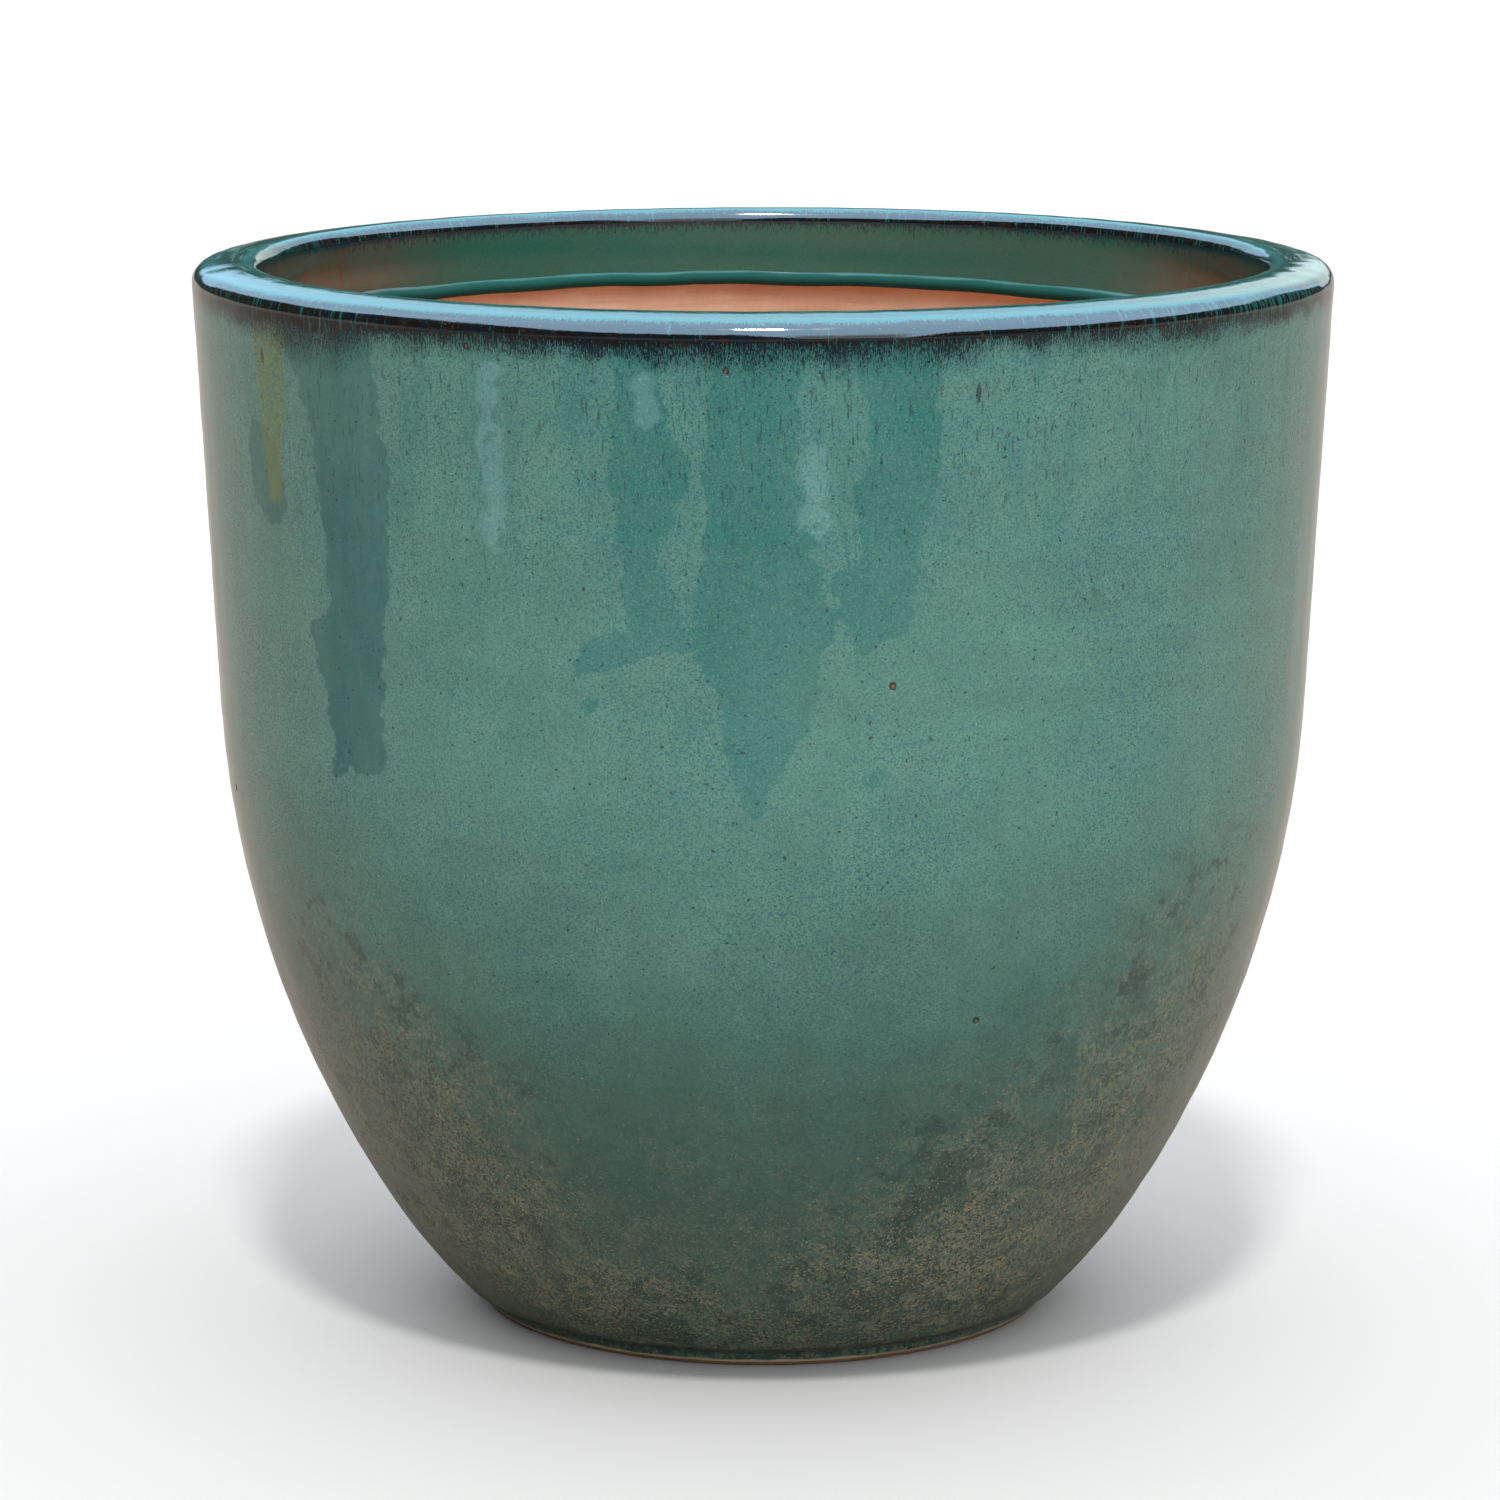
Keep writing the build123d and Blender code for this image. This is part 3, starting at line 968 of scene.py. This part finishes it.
def foot_and_floor(material):
    """The floor slab, spiralled inside, with its drain hole, hollow and worn foot ring."""
    ground = foot_side(GLAZE, 0)[0]
    crease_angle = dip(LOWER_CENTRE, LOWER_CURVE - GLAZE - CLAY_GAP, BELLY_EDGE)
    crease = on_curve(LOWER_CENTRE, LOWER_CURVE - GLAZE - CLAY_GAP, crease_angle)
    middle = (DRAIN_RADIUS + 12.0, FLOOR_TOP)
    under = soften(
        [
            middle,
            (DRAIN_RADIUS, FLOOR_TOP),
            (DRAIN_RADIUS, RECESS),
            (ground - FOOT_WIDTH - RECESS_SLOPE, RECESS),
            (ground - FOOT_WIDTH, 0.0),
            (ground - FOOT_CHAMFER, 0.0),
            foot_side(GLAZE, FOOT_CHAMFER),
            foot_side(GLAZE, FOOT_NECK),
            crease,
        ],
        1.6,
    )
    outside = arc(LOWER_CENTRE, LOWER_CURVE - GLAZE - CLAY_GAP, crease_angle, CORNER_ANGLE, 12.0)
    corner = arc(CORNER_CENTRE, CORNER, CORNER_ANGLE, -UP, 2.4)
    floor = line(corner[-1], middle, 2.4)
    marks = throwing_marks(FLOOR_PITCH, 1)

    def spiral(angle, distance):
        fade = np.clip(np.minimum(distance, distance.max() - distance) / 8, 0, 1)
        return fade * marks(angle, distance)

    def wear_and_streaks(angle, distance):
        return np.clip(lip_roll(angle, distance), -0.15, 0.0)

    runs = [(spaced(under, 5.0), wear_and_streaks), (outside[1:], None), (join(corner, floor)[:-1], spiral)]
    return clay_piece("foot_and_floor", runs, material)


def lip_ring(material):
    """The clay of the lip, with its bead, hidden but for its underside."""
    depth = GLAZE + CLAY_GAP
    lip_run = lip_face(depth, 3.0)
    collar_run = collar_face(depth, 1.5)
    under = [collar_run[-1], upper_wall(LIP_UNDERSIDE, WALL), upper_wall(RIM_JOINT, depth), lip_run[0]]

    def rolled(angle, distance):
        return np.clip(lip_roll(angle, distance), -0.2, 0.0)

    runs = [(lip_run[1:], None), (collar_run[1:], rolled), (spaced(under, 2.5)[1:-1], rolled)]
    return clay_piece("lip_ring", runs, material, bead_drop)


clay = make_clay()
wall = thrown_wall(clay)
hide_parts("wall")
slab = foot_and_floor(clay)
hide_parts("floor_slab")
ring = lip_ring(clay)
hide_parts("rim_ring")

# ---------------------------------------------------------------- camera
CAMERA_DISTANCE = 3.0954  # metres from the pot's axis
CAMERA_HEIGHT = 0.8891
CAMERA_LENS = 136.65  # millimetres
CAMERA_SENSOR = 36.0  # millimetres across
CAMERA_PITCH = 10.66  # degrees below level
CAMERA_SWING = 0.00228  # radians, which puts the pot a little right of the middle

camera_data = bpy.data.cameras.new("camera")
camera_data.lens = CAMERA_LENS
camera_data.sensor_width = CAMERA_SENSOR
camera = bpy.data.objects.new("camera", camera_data)
camera.location = (0.0, -CAMERA_DISTANCE, CAMERA_HEIGHT)
camera.rotation_euler = (radians(90 - CAMERA_PITCH), 0.0, CAMERA_SWING)
bpy.context.collection.objects.link(camera)
bpy.context.scene.camera = camera

# ---------------------------------------------------------------- floor and light
FLOOR_SEEN = (0.3, 0.292, 0.284, 1.0)
FLOOR_BOUNCE = (0.16, 0.132, 0.105, 1.0)
FLOOR_BEHIND = (0.158, 0.112, 0.082, 1.0)
FLOOR_FAR = (0.035, 0.03, 0.025, 1.0)
SKY_DIFFUSE = (3.05, 3.05, 3.05, 1.0)
SKY_GLOSS = (2.6, 4.1, 5.5, 1.0)
CLOUD = (1.1, 1.25, 1.25, 1.0)
HEDGE = (0.05, 0.07, 0.06, 1.0)
BACKDROP = (1.0, 1.0, 1.0, 1.0)
SKYLINE = 0.26  # sine of the height at which the sky starts
SUN_STRENGTH = 3.0
SUN_SIZE = 6.0  # degrees across
SUN_HEIGHT = 64.0  # degrees above level, on the camera's side

# The floor that the glaze mirrors: plain near the pot, a little deeper behind it, and
# dark far in front, so that the dark band under the lip stays dark.
stage = Finish("studio_floor")
bounce = stage.mix(stage.fade(stage.y, -0.6, 0.4), FLOOR_BOUNCE, FLOOR_BEHIND)
bounce = stage.mix(stage.fade(stage.y, -1.6, -2.6), bounce, FLOOR_FAR)
shade = stage.mix(stage.add("ShaderNodeLightPath", {}, "Is Camera Ray"), bounce, FLOOR_SEEN)
floor_material = stage.finish(shade, 0.8, stage.times(stage.noise(400), 0.0001), {})
floor_mesh = bpy.data.meshes.new("floor")
floor_mesh.from_pydata([(-40, -40, 0), (40, -40, 0), (40, 40, 0), (-40, 40, 0)], [], [(0, 1, 2, 3)])
floor_mesh.materials.append(floor_material)
floor = bpy.data.objects.new("floor", floor_mesh)
bpy.context.collection.objects.link(floor)

# The sky that the glaze mirrors: a blue one, dimmer behind the pot, with one pale cloud
# on the right. A dark skyline of trees stands all round, higher at the sides and lower
# where the lip catches light. The camera sees a plain white backdrop instead.
world = bpy.data.worlds.new("studio")
world.use_nodes = True
bpy.context.scene.world = world
sky = Shading(world.node_tree, "Generated")
right, back, rise = sky.x, sky.y, sky.z
paths = sky.add("ShaderNodeLightPath", {}).node.outputs
cloud = sky.times(sky.fade(right, 0.06, 0.14), sky.fade(right, 0.5, 0.4), sky.fade(rise, 0.5, 0.25))
overhead = sky.level(back, 0.95, 0.1, 0.3, 1.0)
deep_sky = sky.add("ShaderNodeVectorMath", {0: SKY_GLOSS[:3], "Scale": overhead}, operation="SCALE")
gloss = sky.mix(cloud, deep_sky, CLOUD)
above = sky.mix(paths["Is Glossy Ray"], SKY_DIFFUSE, gloss)
gap = sky.times(sky.fade(right, 0.06, 0.14), -0.22)
trees = sky.times(sky.fade(right, 0.45, 0.6), 0.38)
near_side = sky.times(sky.fade(back, 0.35, -0.1), sky.fade(right, 0.06, -0.1), 0.2)
left_side = sky.times(sky.fade(right, -0.5, -0.8), 0.24)
left_gap = sky.times(sky.fade(back, 0.78, 0.88), sky.fade(right, -0.04, -0.14), -0.13)
tops = sky.plus(SKYLINE, sky.swing(9, 0.018, 2), gap, trees, near_side, left_side, left_gap)
light = sky.mix(sky.fade(sky.maths("SUBTRACT", rise, tops), -0.02, 0.02), HEDGE, above)
seen = sky.mix(paths["Is Camera Ray"], light, BACKDROP)
sky.add("ShaderNodeOutputWorld", {0: sky.add("ShaderNodeBackground", {"Color": seen})}, None)

sun_data = bpy.data.lights.new("sun", "SUN")
sun_data.energy = SUN_STRENGTH
sun_data.angle = radians(SUN_SIZE)
sun = bpy.data.objects.new("sun", sun_data)
sun.rotation_euler = (radians(90 - SUN_HEIGHT), 0.0, 0.0)
bpy.context.collection.objects.link(sun)

bpy.context.scene.view_settings.view_transform = "Standard"
